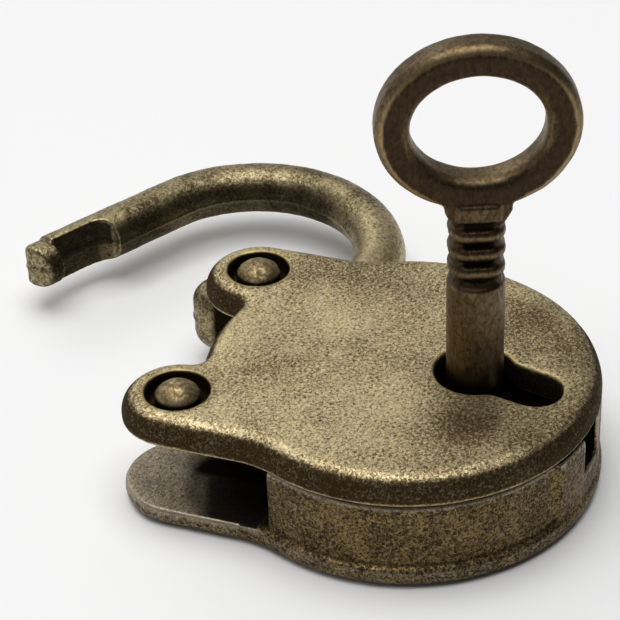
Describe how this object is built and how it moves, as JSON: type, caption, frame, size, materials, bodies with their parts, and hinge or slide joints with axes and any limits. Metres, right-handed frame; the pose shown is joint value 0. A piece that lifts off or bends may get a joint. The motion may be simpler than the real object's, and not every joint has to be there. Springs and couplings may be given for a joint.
{
  "type": "padlock",
  "caption": "Small round padlock with domed ears, a rod shackle that swings open on a rivet, and an oval-bowed key that draws back a sprung latch.",
  "frame": {"origin": "centre of the round body, on the flat back face that the lock lies on", "axes": "+Z is the front plate's outward normal, +Y runs from the keyhole towards the ears, +X towards the ear that the shackle pivots in"},
  "size_m": [0.0434, 0.0499, 0.0355],
  "materials": {
    "case_bronze": "antique bronze plating on a rough zinc casting",
    "plate_bronze": "antique bronze plating with a sandy cast grain and bright worn edges",
    "rivet_bronze": "antique bronze plating, smooth with a peened crown",
    "shackle_bronze": "antique brass plating, as cast with a faint parting line",
    "key_bronze": "dark bronze plating with bright worn edges",
    "latch_zinc": "bare cast zinc",
    "steel": "plain steel"
  },
  "bodies": {
    "body": {"case": "case_bronze", "front_plate": "plate_bronze", "cover_pins": "steel", "shackle_rivet": "rivet_bronze", "catch_ear_stud": "rivet_bronze", "latch_guide_posts": "steel", "latch_spring": "steel", "spring_guide_pin": "steel", "key_post": "steel", "ward_ring": "steel"},
    "shackle": {"shackle": "shackle_bronze"},
    "latch": {"latch": "latch_zinc"},
    "key": {"key": "key_bronze"}
  },
  "joints": [
    {"name": "shackle_swing", "type": "hinge", "parent": "body", "child": "shackle", "pos_m": [0.00813, 0.0144, 0.0043], "axis": [0, 0, 1], "range_deg": [-6, 120]},
    {"name": "key_turn", "type": "hinge", "parent": "body", "child": "key", "pos_m": [0.00045, -0.00495, 0.004], "axis": [0, 0, -1], "range_deg": [0, 34]},
    {"name": "latch_slide", "type": "slide", "parent": "body", "child": "latch", "axis": [-1, 0, 0], "range_m": [0, 0.00254], "stiffness_N_per_m": 150, "springref_m": 0.005, "deforming": ["latch_spring"]}
  ],
  "couplings": [
    {"joint": "key_turn", "follows": "latch_slide", "rad_per_m": 233.68}
  ]
}
